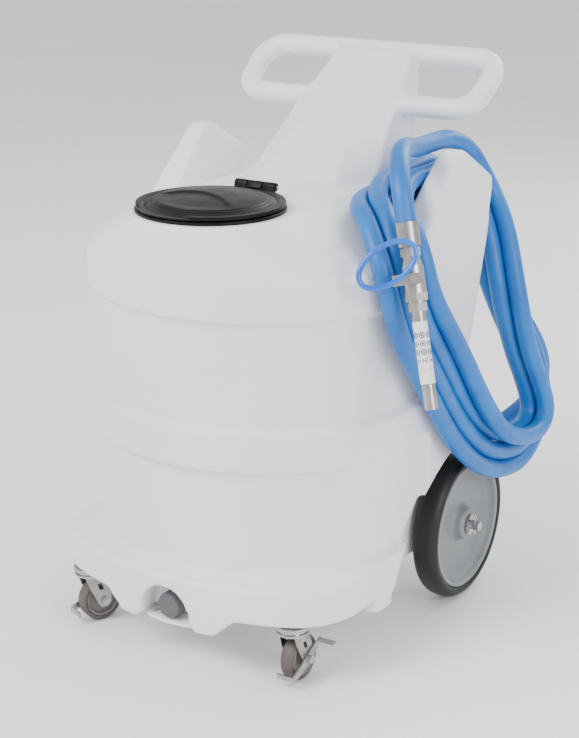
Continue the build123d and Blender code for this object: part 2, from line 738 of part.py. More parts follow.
def caster_core():
    core = caster_line(-12, 12, 13, 7) + caster_line(-4, 4, 30, 7) + caster_line(-11, 11, 30, 25)
    return core


def caster_bush():
    return caster_line(-13, 13, 7, CASTER_BOLT_R + RUNNING)


def caster_tread():
    tread = caster_line(-12, 12, CASTER_R, 30)
    edges = tread.edges().filter_by(lambda e: e.geom_type == GeomType.CIRCLE and e.radius > CASTER_R - 1)
    return fillet(edges, 4)


def caster_brake():
    """Two-ended brake lever: pedal tab behind, shoe in front of the tread."""
    low, high = 17.4, 20.2
    y0, z0 = CASTER_TRAIL, CASTER_R
    plate = side_prism(
        [(y0 - 46, z0 - 15), (y0 - 43, z0 - 23), (y0 + 2, z0 - 9), (y0 + 36, z0 + 19), (y0 + 32, z0 + 25), (y0 - 4, z0 + 9)],
        low, high,
    )
    pedal = block((low, y0 + 27, z0 + 18), (46, y0 + 37, z0 + 21))
    shoe = block((-11, y0 - 46, z0 - 22), (high, y0 - 43, z0 - 14))
    return plate + pedal + shoe - caster_line(0, 30, CASTER_BOLT_R + RUNNING)


def steps(count):
    """Equal turns of a full circle, in radians."""
    return [2 * math.pi * i / count for i in range(count)]


def write(name, shape):
    """Write one sub-part, which may be a list of separate solids, to its own file."""
    pieces = shape if isinstance(shape, list) else [shape]
    solids = [Pos(0, AXLE_Y, 0) * solid for piece in pieces for solid in piece.solids()]
    whole = solids[0] if len(solids) == 1 else Compound(children=solids)
    export_step(whole, f"parts/{name}.step")


def all_parts():
    yield from tank_pieces()
    yield "lid_ring", lid_ring()
    yield "lid_cover", lid_cover()
    yield "lid_gasket", lid_gasket()
    yield "lid_hinge_pin", lid_hinge_pin()
    yield "drain_spigot", drain_spigot()
    yield "drain_cap", drain_cap()
    yield "drain_washer", drain_washer()
    yield "outlet_bushing", outlet_bushing()
    yield "outlet_gasket", outlet_gasket()
    yield "outlet_locknut", outlet_locknut()
    yield "hose_barb", hose_barb()
    yield "hose_clamp", hose_clamp()
    yield "hose_lead", hose(LEAD_ROUTE, "hose_lead")
    yield "hose_coil", hose_coil()
    yield "hose_tail", hose([*TAIL_ROUTE, wand_point(-30), wand_point(FERRULE_LENGTH - 3)], "hose_tail")
    yield "hose_ferrule", hose_ferrule()
    yield "swivel_nut", swivel_nut()
    yield "valve_inlet", valve_inlet()
    yield "valve_body", valve_body()
    yield "valve_seats", valve_seats()
    yield "valve_ball", valve_ball()
    yield "valve_handle", valve_handle()
    yield "valve_handle_nut", handle_nut()
    yield "valve_handle_grip", handle_loop_grip()
    yield "union_nut", union_nut()
    yield "reducer_nut", reducer_nut()
    yield "wand_tube", wand_tube()
    yield "wand_label", wand_label()
    yield "rear_axle", rear_axle()
    yield "axle_spacers", axle_spacers()
    yield "axle_washers", axle_washers()
    yield "cotter_pins", cotter_pins()
    for side, word in ((-1, "left"), (1, "right")):
        yield f"rear_wheel_hub_{word}", wheel_hub(side)
        yield f"rear_wheel_tyre_{word}", wheel_tyre(side)
        yield f"rear_wheel_bush_{word}", wheel_bush(side)
        yield f"caster_stem_{word}", at_caster(side, caster_stem(), swivelled=False)
        yield f"caster_race_{word}", at_caster(side, caster_race())
        yield f"caster_fork_{word}", at_caster(side, caster_fork())
        yield f"caster_bolt_{word}", at_caster(side, caster_bolt())
        yield f"caster_nut_{word}", at_caster(side, caster_nut())
        yield f"caster_core_{word}", at_caster(side, caster_core())
        yield f"caster_bush_{word}", at_caster(side, caster_bush())
        yield f"caster_tread_{word}", at_caster(side, caster_tread())
        yield f"caster_brake_{word}", at_caster(side, caster_brake())


if __name__ == "__main__":
    os.makedirs("parts", exist_ok=True)
    for part_name, part_shape in all_parts():
        write(part_name, part_shape)
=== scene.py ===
import json
import math

import bmesh
import bpy
from mathutils import Matrix, Vector


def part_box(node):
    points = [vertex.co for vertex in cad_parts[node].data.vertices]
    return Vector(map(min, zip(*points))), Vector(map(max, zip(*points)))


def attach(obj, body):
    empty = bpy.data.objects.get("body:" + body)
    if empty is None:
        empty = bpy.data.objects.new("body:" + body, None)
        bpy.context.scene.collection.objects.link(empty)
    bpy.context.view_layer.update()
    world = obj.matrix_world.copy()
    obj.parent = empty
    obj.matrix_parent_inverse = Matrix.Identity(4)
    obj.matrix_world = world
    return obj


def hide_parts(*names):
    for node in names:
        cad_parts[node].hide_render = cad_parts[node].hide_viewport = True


# Wheeled liquid tank cart. Everything is in metres in the CAD's frame: +Z up, the filler lid towards -Y,
# the hose side towards +X.
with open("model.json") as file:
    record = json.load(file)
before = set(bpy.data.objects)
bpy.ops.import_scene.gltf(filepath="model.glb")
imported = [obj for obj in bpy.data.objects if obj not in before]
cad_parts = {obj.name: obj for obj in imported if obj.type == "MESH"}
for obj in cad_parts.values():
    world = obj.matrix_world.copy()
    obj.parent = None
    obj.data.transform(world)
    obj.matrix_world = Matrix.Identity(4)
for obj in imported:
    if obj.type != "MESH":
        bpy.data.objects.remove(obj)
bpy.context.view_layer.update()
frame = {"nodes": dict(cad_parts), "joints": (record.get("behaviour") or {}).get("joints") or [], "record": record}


RECORD = frame["record"]
JOINTS = {joint["name"]: joint for joint in frame["joints"]}


# ---------------------------------------------------------------- camera
def add_camera():
    """The photograph's camera, solved from the wheels, the lid's circle and the handle."""
    turn, drop = math.radians(32.72), math.radians(17.89)
    data = bpy.data.cameras.new("camera")
    data.lens = 82.69
    data.sensor_width = 36.0
    data.clip_end = 60
    camera = bpy.data.objects.new("camera", data)
    bpy.context.scene.collection.objects.link(camera)
    camera.location = (1.4728, -2.2653, 1.2737)
    camera.rotation_euler = (math.pi / 2 - drop, 0, turn)
    bpy.context.scene.camera = camera


add_camera()


# ---------------------------------------------------------------- materials
TONE_FROM, TONE_TO = 0.35, 0.65     # stretch of a noise value over which one tone turns into the other
NOISE_LOW, NOISE_HIGH = 0.3, 0.7    # usual range of a noise value
GRAIN_STRENGTH = 0.35


def new_material(name):
    """A material with its tree, its shader and object coordinates."""
    material = bpy.data.materials.new(name)
    material.use_nodes = True
    nodes, links = material.node_tree.nodes, material.node_tree.links
    shader = nodes["Principled BSDF"]
    where = nodes.new("ShaderNodeTexCoord").outputs["Object"]
    return material, nodes, links, shader, where


def noise(nodes, links, where, scale, detail=3.0, stretch=None):
    """Noise texture in object space, stretched along an axis where asked."""
    if stretch:
        mapping = nodes.new("ShaderNodeMapping")
        mapping.inputs["Scale"].default_value = stretch
        links.new(where, mapping.inputs["Vector"])
        where = mapping.outputs["Vector"]
    texture = nodes.new("ShaderNodeTexNoise")
    texture.inputs["Scale"].default_value = scale
    texture.inputs["Detail"].default_value = detail
    links.new(where, texture.inputs["Vector"])
    return texture.outputs["Fac"]


def ramp(nodes, links, value, low, high):
    """Colour between two tones, led by a noise value."""
    node = nodes.new("ShaderNodeValToRGB")
    node.color_ramp.elements[0].position = TONE_FROM
    node.color_ramp.elements[0].color = (*low, 1)
    node.color_ramp.elements[1].position = TONE_TO
    node.color_ramp.elements[1].color = (*high, 1)
    links.new(value, node.inputs["Fac"])
    return node.outputs["Color"]


def spread(nodes, links, value, low, high):
    """Number between two limits, led by a noise value."""
    node = nodes.new("ShaderNodeMapRange")
    node.inputs["From Min"].default_value = NOISE_LOW
    node.inputs["From Max"].default_value = NOISE_HIGH
    node.inputs["To Min"].default_value = low
    node.inputs["To Max"].default_value = high
    links.new(value, node.inputs["Value"])
    return node.outputs["Result"]


def bump(nodes, links, shader, height, strength, distance):
    """Raise a shader's surface by a height in metres."""
    node = nodes.new("ShaderNodeBump")
    node.inputs["Strength"].default_value = strength
    node.inputs["Distance"].default_value = distance
    links.new(height, node.inputs["Height"])
    links.new(node.outputs["Normal"], shader.inputs["Normal"])


def finish_material(
    name, low, high, rough, patch=12.0, grain=500.0, relief=0.0002, stretch=None, metal=0.0, **sockets,
):
    """Base colour that drifts between two tones, uneven gloss and a fine surface grain."""
    material, nodes, links, shader, where = new_material(name)
    links.new(ramp(nodes, links, noise(nodes, links, where, patch), low, high), shader.inputs["Base Color"])
    gloss = noise(nodes, links, where, patch * 4, 5.0, stretch)
    links.new(spread(nodes, links, gloss, rough[0], rough[1]), shader.inputs["Roughness"])
    bump(nodes, links, shader, noise(nodes, links, where, grain, 2.0, stretch), GRAIN_STRENGTH, relief)
    shader.inputs["Metallic"].default_value = metal
    for socket, value in sockets.items():
        shader.inputs[socket.replace("_", " ")].default_value = value
    return material


def hose_material():
    """Wrapped rubber: fine crossed cloth marks over an even blue."""
    material, nodes, links, shader, where = new_material("hose_blue")
    tone = noise(nodes, links, where, 9.0)
    links.new(ramp(nodes, links, tone, (0.0, 0.12, 0.44), (0.002, 0.17, 0.55)), shader.inputs["Base Color"])
    waves = []
    for stretch in ((1.0, 1.0, 1.0), (-1.0, 1.0, 1.0)):
        mapping = nodes.new("ShaderNodeMapping")
        mapping.inputs["Scale"].default_value = stretch
        links.new(where, mapping.inputs["Vector"])
        wave = nodes.new("ShaderNodeTexWave")
        wave.bands_direction = "DIAGONAL"
        wave.inputs["Scale"].default_value = 190.0
        wave.inputs["Distortion"].default_value = 0.6
        links.new(mapping.outputs["Vector"], wave.inputs["Vector"])
        waves.append(wave.outputs["Fac"])
    cross = nodes.new("ShaderNodeMath")
    cross.operation = "MULTIPLY"
    links.new(waves[0], cross.inputs[0])
    links.new(waves[1], cross.inputs[1])
    bump(nodes, links, shader, cross.outputs["Value"], 0.3, 0.0003)
    links.new(spread(nodes, links, noise(nodes, links, where, 60.0), 0.36, 0.5), shader.inputs["Roughness"])
    return material


MATERIALS = {
    "tank_plastic": finish_material(
        "natural_polyethylene", (0.8, 0.8, 0.84), (0.87, 0.87, 0.9), (0.34, 0.46),
        patch=3.0, grain=260.0, relief=0.00025,
        Subsurface_Weight=0.12, Subsurface_Radius=(0.01, 0.01, 0.011), Subsurface_Scale=0.5),
    "lid_plastic": finish_material(
        "black_lid", (0.004, 0.0035, 0.0035), (0.008, 0.0065, 0.006), (0.36, 0.48),
        relief=0.0001, Specular_IOR_Level=0.16),
    "seal_rubber": finish_material("seal_rubber", (0.012, 0.012, 0.012), (0.02, 0.02, 0.02), (0.6, 0.75)),
    "seal_plastic": finish_material("white_bush", (0.62, 0.61, 0.58), (0.72, 0.71, 0.68), (0.4, 0.5)),
    "drain_plastic": finish_material("drain_grey", (0.075, 0.08, 0.084), (0.1, 0.105, 0.11), (0.45, 0.6)),
    "brass_fitting": finish_material(
        "brass", (0.6, 0.4, 0.16), (0.72, 0.5, 0.22), (0.22, 0.36), stretch=(4, 60, 4), metal=1.0),
    "steel_satin": finish_material(
        "satin_steel", (0.36, 0.345, 0.33), (0.5, 0.485, 0.47), (0.2, 0.36),
        patch=30.0, stretch=(30, 4, 8), metal=1.0),
    "steel_bright": finish_material(
        "bright_steel", (0.45, 0.45, 0.45), (0.58, 0.58, 0.59), (0.1, 0.22), patch=30.0, metal=1.0),
    "hose_rubber": hose_material(),
    "handle_vinyl": finish_material(
        "dipped_vinyl", (0.0, 0.11, 0.6), (0.001, 0.16, 0.72), (0.14, 0.24), Coat_Weight=0.4),
    "label_film": finish_material(
        "label_film", (0.8, 0.8, 0.82), (0.88, 0.88, 0.9), (0.25, 0.32), relief=0.00005),
    "hub_plastic": finish_material(
        "hub_grey", (0.2, 0.218, 0.226), (0.235, 0.253, 0.26), (0.42, 0.55), grain=700.0),
    "tyre_rubber": finish_material(
        "tyre_black", (0.006, 0.005, 0.0065), (0.012, 0.01, 0.012), (0.4, 0.54),
        relief=0.0003, Specular_IOR_Level=0.35),
    "caster_plastic": finish_material("caster_core", (0.16, 0.15, 0.14), (0.21, 0.2, 0.19), (0.4, 0.5)),
    "caster_rubber": finish_material("caster_tread", (0.075, 0.06, 0.052), (0.11, 0.09, 0.08), (0.5, 0.62)),
}
INK = {
    "blue": finish_material(
        "ink_blue", (0.002, 0.01, 0.16), (0.004, 0.016, 0.24), (0.3, 0.36), relief=0.00005),
    "yellow": finish_material(
        "ink_yellow", (0.75, 0.5, 0.02), (0.85, 0.6, 0.04), (0.3, 0.36), relief=0.00005),
}
SLOT_OF = {row["node"]: row["material_slot"] for row in RECORD["subparts"]}


def paint_nodes():
    """Every CAD node gets its slot's material."""
    for name, node in frame["nodes"].items():
        node.data.materials.clear()
        node.data.materials.append(MATERIALS[SLOT_OF[name]])


paint_nodes()


# ---------------------------------------------------------------- helpers
def put(piece, body, slot, *replaced, material=None):
    """Give a piece its material, its body and the CAD nodes that it stands for."""
    piece.data.materials.clear()
    piece.data.materials.append(material or MATERIALS[slot])
    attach(piece, body)
    if replaced:
        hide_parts(*replaced)
    return piece


def object_from(bm, name, smooth=True):
    """Linked object whose mesh is a bmesh, which is freed."""
    mesh = bpy.data.meshes.new(name)
    bm.to_mesh(mesh)
    bm.free()
    for face in mesh.polygons:
        face.use_smooth = smooth
    piece = bpy.data.objects.new(name, mesh)
    bpy.context.scene.collection.objects.link(piece)
    return piece


def auto_smooth(piece, degrees=35):
    """Smooth shading, except over edges sharper than an angle."""
    mesh = piece.data
    mesh.shade_smooth()
    mesh.set_sharp_from_angle(angle=math.radians(degrees))


def axes(direction):
    """Rotation whose Z is a direction."""
    return Vector(direction).to_track_quat("Z", "Y").to_matrix().to_4x4()


def apply_modifiers(piece):
    """Replace a piece's mesh by what its modifiers make of it."""
    graph = bpy.context.evaluated_depsgraph_get()
    mesh = bpy.data.meshes.new_from_object(piece.evaluated_get(graph))
    piece.modifiers.clear()
    piece.data = mesh


def bevelled(piece, width, segments, degrees):
    """Round the edges of a piece that are sharper than an angle."""
    modifier = piece.modifiers.new("bevel", "BEVEL")
    modifier.width = width
    modifier.segments = segments
    modifier.limit_method = "ANGLE"
    modifier.angle_limit = math.radians(degrees)
    apply_modifiers(piece)
    auto_smooth(piece)
    return piece


def lathe(name, profile, origin, direction, segments):
    """Closed ring solid turned from (radius, height) points about an axis."""
    place = Matrix.Translation(Vector(origin)) @ axes(direction)
    bm = bmesh.new()
    rings = []
    for i in range(segments):
        turn = 2 * math.pi * i / segments
        points = [Vector((r * math.cos(turn), r * math.sin(turn), h)) for r, h in profile]
        rings.append([bm.verts.new(place @ point) for point in points])
    for i, ring in enumerate(rings):
        after = rings[(i + 1) % segments]
        for j in range(len(profile)):
            k = (j + 1) % len(profile)
            bm.faces.new((ring[j], after[j], after[k], ring[k]))
    bmesh.ops.remove_doubles(bm, verts=bm.verts, dist=1e-6)
    bmesh.ops.recalc_face_normals(bm, faces=bm.faces)
    piece = object_from(bm, name)
    auto_smooth(piece, 50)
    return piece


def rounded(points, radius, steps=4):
    """Closed profile with every corner turned into a short arc."""
    out = []
    count = len(points)
    for i, here in enumerate(points):
        a = Vector(points[i - 1]) - Vector(here)
        b = Vector(points[(i + 1) % count]) - Vector(here)
        reach = min(radius, a.length * 0.45, b.length * 0.45)
        start, end = Vector(here) + a.normalized() * reach, Vector(here) + b.normalized() * reach
        for k in range(steps + 1):
            t = k / steps
            p = start * (1 - t) ** 2 + Vector(here) * 2 * t * (1 - t) + end * t ** 2
            out.append((p.x, p.y))
    return out


def tube(name, points, radius, cyclic=False):
    """Round bar along a smooth line."""
    curve = bpy.data.curves.new(name, "CURVE")
    curve.dimensions = "3D"
    curve.bevel_depth = radius
    curve.bevel_resolution = 8
    curve.resolution_u = 12
    curve.use_fill_caps = not cyclic
    spline = curve.splines.new("NURBS")
    spline.points.add(len(points) - 1)
    for point, place in zip(spline.points, points):
        point.co = (*place, 1)
    spline.order_u = 3
    spline.use_cyclic_u = cyclic
    spline.use_endpoint_u = not cyclic
    piece = bpy.data.objects.new(name, curve)
    bpy.context.scene.collection.objects.link(piece)
    return piece


# ---------------------------------------------------------------- hose
HOSE_DIAMETER = 0.031
STRAND_GAP = 0.0316    # between the middles of strands that lie side by side

# Lead from the rear outlet to the coil. It leaves the CAD's route where it runs into the coil.
LEAD_ROUTE = [
    (0.150, 0.224, 0.175), (0.150, 0.284, 0.175), (0.164, 0.352, 0.184), (0.205, 0.402, 0.214),
    (0.258, 0.418, 0.264), (0.293, 0.402, 0.318),
]
# Tail from the top rear of the coil, over the saddle and down into the ferrule.
TAIL_ROUTE = [
    (0.226, 0.292, 0.700), (0.208, 0.252, 0.762), (0.200, 0.192, 0.782), (0.201, 0.130, 0.782),
    (0.209, 0.066, 0.785), (0.226, 0.008, 0.798), (0.248, -0.047, 0.804), (0.268, -0.088, 0.794),
    (0.285, -0.116, 0.774), (0.2991, -0.1313, 0.7456), (0.3157, -0.1411, 0.6856),
]
# Stations round the coil: x, y, z of the middle of the wound strands, strand spacing, stagger across, and
# how many degrees the strands' row is turned from the loop's plane (0) to side by side on the saddle (90).
COIL_STATIONS = [
    (0.176, 0.136, 0.720, 0.0195, 0.0130, 90),
    (0.178, 0.041, 0.724, 0.0195, 0.0130, 90),
    (0.204, -0.034, 0.712, 0.0220, 0.0125, 62),
    (0.256, -0.089, 0.696, 0.0270, 0.0105, 30),
    (0.294, -0.115, 0.642, STRAND_GAP, 0.0, 10),
    (0.299, -0.093, 0.560, STRAND_GAP, 0.0, 0),
    (0.299, -0.003, 0.456, STRAND_GAP, 0.0, 0),
    (0.301, 0.072, 0.362, STRAND_GAP, 0.0, 0),
    (0.308, 0.144, 0.296, STRAND_GAP, 0.0, 0),
    (0.313, 0.216, 0.264, STRAND_GAP, 0.0, 0),
    (0.316, 0.286, 0.258, STRAND_GAP, 0.0, 0),
    (0.314, 0.332, 0.292, STRAND_GAP, 0.0, 0),
    (0.304, 0.321, 0.352, 0.0305, 0.0100, 0),
    (0.290, 0.284, 0.430, 0.0285, 0.0120, 0),
    (0.264, 0.262, 0.520, 0.0265, 0.0120, 20),
    (0.226, 0.270, 0.612, 0.0245, 0.0125, 45),
    (0.184, 0.258, 0.690, 0.0215, 0.0130, 75),
    (0.174, 0.206, 0.728, 0.0195, 0.0130, 90),
]
COIL_START, COIL_STOP = 12, 15    # stations of the hose's first and last point on the coil
COIL_TURNS = 4                    # times that the hose passes from the last station to the first
SHIFT_FROM, SHIFT_SPAN = 11, 7    # stations over which each pass moves one strand further in
CLIMB_FROM, CLIMB_SPAN = 4, 4     # stations over which the last pass climbs onto the pass before it


def coil_points():
    """Control points of the wound turns: each pass lies a strand further in, and the last one lies on top."""
    count = len(COIL_STATIONS)
    points = []
    for step in range(COIL_START, COIL_TURNS * count + COIL_STOP + 1):
        turn, place = divmod(step, count)
        x, y, z, gap, stagger, lean = COIL_STATIONS[place]
        before = Vector(COIL_STATIONS[(place - 1) % count][:3])
        after = Vector(COIL_STATIONS[(place + 1) % count][:3])
        tangent = (after - before).normalized()
        across = tangent.cross(Vector((1, 0, 0))).normalized()
        outward = across.cross(tangent)
        lean = math.radians(lean)
        fan = across * math.cos(lean) - outward * math.sin(lean)
        side = across * math.sin(lean) + outward * math.cos(lean)
        shift = max(0.0, (place - SHIFT_FROM) / SHIFT_SPAN)
        climb = min(1.0, max(0.0, (place - CLIMB_FROM) / CLIMB_SPAN)) if turn == COIL_TURNS else 0.0
        roll = climb * math.pi / 2
        rank = COIL_TURNS / 2 + 0.5 - (turn + shift) + 1 - math.cos(roll)
        swing = math.cos(math.pi * step / count) * (1 - 2 * climb)
        lift = stagger * swing + STRAND_GAP * math.sin(roll)
        points.append(tuple(Vector((x, y, z)) + fan * gap * rank + side * lift))
    return points


def add_hose():
    """The hose as one strand, and the names of the CAD nodes fitted to it."""
    route = [*LEAD_ROUTE, *coil_points(), *TAIL_ROUTE]
    hose = tube("hose", route, HOSE_DIAMETER / 2)
    put(hose, "tank", "hose_rubber", "hose_lead", "hose_coil", "hose_tail")
    on_hose = [
        "hose_barb", "hose_clamp", "hose_ferrule", "swivel_nut", "valve_inlet", "valve_body",
        "valve_seats", "valve_ball", "valve_handle", "valve_handle_nut", "union_nut", "reducer_nut",
        "wand_tube", "wand_label",
    ]
    return hose, on_hose


hose_piece, hose_fittings = add_hose()


# ---------------------------------------------------------------- tank
TANK_NODES = ("tank_base", "tank_wall", "tank_deck", "tank_handle")
SKIN_VOXEL = 0.0034
SKIN_RELAX_STEPS = 14


def add_tank():
    """Soft rotomoulded skin: the moulding's four nodes remeshed as one, then relaxed to soften the edges."""
    bm = bmesh.new()
    for name in TANK_NODES:
        mesh = frame["nodes"][name].data.copy()
        mesh.transform(frame["nodes"][name].matrix_world)
        bm.from_mesh(mesh)
    skin = object_from(bm, "tank_skin")
    remesh = skin.modifiers.new("remesh", "REMESH")
    remesh.mode = "VOXEL"
    remesh.voxel_size = SKIN_VOXEL
    relax = skin.modifiers.new("relax", "SMOOTH")
    relax.factor = 0.5
    relax.iterations = SKIN_RELAX_STEPS
    apply_modifiers(skin)
    skin.data.shade_smooth()
    return put(skin, "tank", "tank_plastic", *TANK_NODES)


add_tank()


# ---------------------------------------------------------------- lid
LID_PIN = Vector(JOINTS["lid_hinge"]["pos_m"])
LID_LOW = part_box("lid_cover")[0]
GASKET_LOW, GASKET_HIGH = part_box("lid_gasket")
LID_MIDDLE = (GASKET_LOW + GASKET_HIGH) / 2
LID_RIM = 0.1150
LID_CUP = 0.084                     # radius inside which the cover's underside is hollow
LID_WALL = 0.0024
RIM_TOP = 0.0055
DOME_FOOT, DOME_RISE, DOME_PLATE = 0.095, 0.0105, 0.0022
OUTER_GROOVE = (0.1015, 0.0020, 0.0016)    # radius, half width, depth
INNER_GROOVE = (0.090, 0.0016, 0.0012)
FOLD_DEPTH = 0.0036                 # of the crease and of the finger step
TAB_LEFT, TAB_RIGHT, TAB_REACH = -0.052, 0.046, 0.003
VIEW_TURN = math.radians(32.7)      # the crease and the finger step are laid out across the camera's view
HINGE_RADIUS = 0.0068


def fade(height, value, at, width):
    """A height that dies away where a value passes a point, or rises there when the width is negative."""
    return height / (1 + math.exp((value - at) / width))


def groove_depth(r, radius, width, depth):
    return depth * math.exp(-(((r - radius) / width) ** 2))


def lid_height(x, y):
    """Height of the cover's top above its rim's underside at a point measured from its middle."""
    r = math.hypot(x, y)
    u = x * math.cos(VIEW_TURN) + y * math.sin(VIEW_TURN)
    v = y * math.cos(VIEW_TURN) - x * math.sin(VIEW_TURN)
    groove = groove_depth(r, *OUTER_GROOVE) + groove_depth(r, *INNER_GROOVE)
    step = fade(1, r, 0.0945, 0.0012)
    dome = DOME_RISE * max(0.0, 1 - (r / DOME_FOOT) ** 2) ** 0.75 * step
    bend = 0.029 - 80 * max(0.0, u + 0.075) ** 3
    crease = fade(FOLD_DEPTH, v, bend, 0.0014) * step * min(1.0, max(0.0, (0.088 - r) / 0.02))
    edge = 0.086 + fade(0.032, u, -0.036, -0.004) + fade(0.030, u, -0.103, 0.003)
    finger = fade(fade(FOLD_DEPTH, v, -0.002, 0.004), edge, r, 0.0010)
    return RIM_TOP + DOME_PLATE * step + dome - crease - groove - finger


def lid_edge(turn):
    """Outer radius of the cover, with the finger tab in front."""
    x = LID_RIM * math.cos(turn)
    if math.sin(turn) > 0:
        return LID_RIM
    left = fade(1, x, TAB_LEFT, -0.0035)
    right = fade(1, x, TAB_RIGHT, 0.0035)
    return LID_RIM + TAB_REACH * left * right


def hinge_knuckle(name, x_low, x_high, foot_low, foot_high, foot_front):
    """Rolled hinge ear about the pin with a foot that runs forward."""
    outline = [(foot_front, foot_low), (LID_PIN.y - 0.002, foot_low)]
    for k in range(17):
        turn = math.radians(-100 + 270 * k / 16)
        outline.append((LID_PIN.y + HINGE_RADIUS * math.cos(turn), LID_PIN.z + HINGE_RADIUS * math.sin(turn)))
    outline.append((LID_PIN.y - 0.0090, foot_high))
    outline.append((foot_front, foot_high))
    bm = bmesh.new()
    ends = [[bm.verts.new((x, y, z)) for y, z in outline] for x in (x_low, x_high)]
    count = len(outline)
    bm.faces.new(ends[0])
    bm.faces.new(list(reversed(ends[1])))
    for i in range(count):
        j = (i + 1) % count
        bm.faces.new((ends[0][i], ends[1][i], ends[1][j], ends[0][j]))
    bmesh.ops.recalc_face_normals(bm, faces=bm.faces)
    return bevelled(object_from(bm, name), 0.0009, 2, 50)


def add_lid():
    """Domed cover as a polar grid on top and underneath, and its hinge ear."""
    rings, segments = 90, 240
    bm = bmesh.new()
    top, under = [], []
    for i in range(1, rings + 1):
        top.append([])
        under.append([])
        for j in range(segments):
            turn = 2 * math.pi * j / segments
            r = lid_edge(turn) * (i / rings) ** 0.8
            x, y = r * math.cos(turn), r * math.sin(turn)
            height = lid_height(x, y)
            floor = max(0.0, height - LID_WALL) if r < LID_CUP else 0.0
            base = Vector((LID_MIDDLE.x + x, LID_MIDDLE.y + y, LID_LOW.z))
            top[-1].append(bm.verts.new(base + Vector((0, 0, height))))
            under[-1].append(bm.verts.new(base + Vector((0, 0, floor))))
    centre = Vector((LID_MIDDLE.x, LID_MIDDLE.y, LID_LOW.z))
    peak = bm.verts.new(centre + Vector((0, 0, lid_height(0, 0))))
    pit = bm.verts.new(centre + Vector((0, 0, lid_height(0, 0) - LID_WALL)))
    for j in range(segments):
        k = (j + 1) % segments
        bm.faces.new((peak, top[0][j], top[0][k]))
        bm.faces.new((pit, under[0][k], under[0][j]))
        for a, b in zip(range(rings - 1), range(1, rings)):
            bm.faces.new((top[a][j], top[b][j], top[b][k], top[a][k]))
            bm.faces.new((under[a][k], under[b][k], under[b][j], under[a][j]))
        bm.faces.new((top[-1][j], under[-1][j], under[-1][k], top[-1][k]))
    bmesh.ops.recalc_face_normals(bm, faces=bm.faces)
    cover = object_from(bm, "lid_top")
    auto_smooth(cover, 40)
    put(cover, "lid", "lid_plastic", "lid_cover")
    ear = hinge_knuckle("lid_ear", -0.0135, 0.0135, LID_LOW.z, LID_LOW.z + RIM_TOP, LID_MIDDLE.y + 0.104)
    put(ear, "lid", "lid_plastic")


def add_filler_ring():
    """Black ring under the lid, a flange on the deck with a short neck into it, and its two hinge ears."""
    bore, neck, flange = 0.084, 0.0898, 0.117    # radii
    neck_depth, flange_rise = 0.009, 0.005
    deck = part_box("lid_ring")[0].z + neck_depth
    profile = [
        (bore, deck - neck_depth), (neck, deck - neck_depth), (neck, deck), (flange, deck),
        (flange, deck + flange_rise), (bore, deck + flange_rise),
    ]
    ring = lathe("filler_ring", rounded(profile, 0.0016), (LID_MIDDLE.x, LID_MIDDLE.y, 0), (0, 0, 1), 160)
    put(ring, "tank", "lid_plastic", "lid_ring")
    for side in (-1, 1):
        low, high = sorted((side * 0.0145, side * 0.038))
        name = f"ring_ear_{'left' if side < 0 else 'right'}"
        ear = hinge_knuckle(name, low, high, deck + 0.0004, deck + 0.0048, LID_MIDDLE.y + 0.108)
        put(ear, "tank", "lid_plastic")


add_lid()
add_filler_ring()


# ---------------------------------------------------------------- rear wheels
def wheel_parts(word, side):
    """Dished hub and solid tyre of a rear wheel; profiles are (radius, offset outwards along the axle)."""
    low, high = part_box(f"rear_wheel_tyre_{word}")
    middle = (low + high) / 2
    half = (high.x - low.x) / 2
    out = (side, 0, 0)
    body = f"rear_wheel_{word}"
    dish = [
        (0.012, -half), (0.030, -half), (0.0302, -0.006), (0.100, -0.004), (0.103, -half + 0.004),
        (0.1108, -half + 0.002), (0.1108, half - 0.0015), (0.1035, half - 0.0015), (0.1000, 0.010),
        (0.092, 0.004), (0.034, 0.002), (0.0285, 0.0075), (0.0265, half - 0.002), (0.012, half - 0.001),
    ]
    hub = lathe(f"hub_dish_{word}", rounded(dish, 0.0045, 5), middle, out, 144)
    put(hub, body, "hub_plastic", f"rear_wheel_hub_{word}")
    tread = [
        (0.1109, -half + 0.001), (0.121, -half), (0.1295, -half + 0.010), (0.130, 0), (0.1295, half - 0.010),
        (0.121, half), (0.1109, half - 0.001),
    ]
    tyre = lathe(f"tyre_{word}", rounded(tread, 0.006, 5), middle, out, 160)
    put(tyre, body, "tyre_rubber", f"rear_wheel_tyre_{word}")


wheel_parts("left", -1)
wheel_parts("right", 1)


# ---------------------------------------------------------------- casters
def caster_wheel(word):
    """Tread and core of a caster wheel; profiles are (radius, offset along its bolt)."""
    joint = JOINTS[f"caster_spin_{word}"]
    origin, out = Vector(joint["pos_m"]), Vector(joint["axis"])
    body = f"caster_wheel_{word}"
    rim = [
        (0.0301, -0.0115), (0.0340, -0.012), (0.0372, -0.0085), (0.0375, 0), (0.0372, 0.0085),
        (0.0340, 0.012), (0.0301, 0.0115),
    ]
    tread = lathe(f"caster_tyre_{word}", rounded(rim, 0.003, 4), origin, out, 96)
    put(tread, body, "caster_rubber", f"caster_tread_{word}")
    core = [
        (0.0071, -0.012), (0.012, -0.012), (0.0135, -0.004), (0.0245, -0.004), (0.026, -0.0108),
        (0.0299, -0.0112), (0.0299, 0.0112), (0.026, 0.0108), (0.0245, 0.004), (0.0135, 0.004),
        (0.012, 0.012), (0.0071, 0.012),
    ]
    hub = lathe(f"caster_hub_{word}", rounded(core, 0.0015, 3), origin, out, 96)
    put(hub, body, "caster_plastic", f"caster_core_{word}")


caster_wheel("left")
caster_wheel("right")


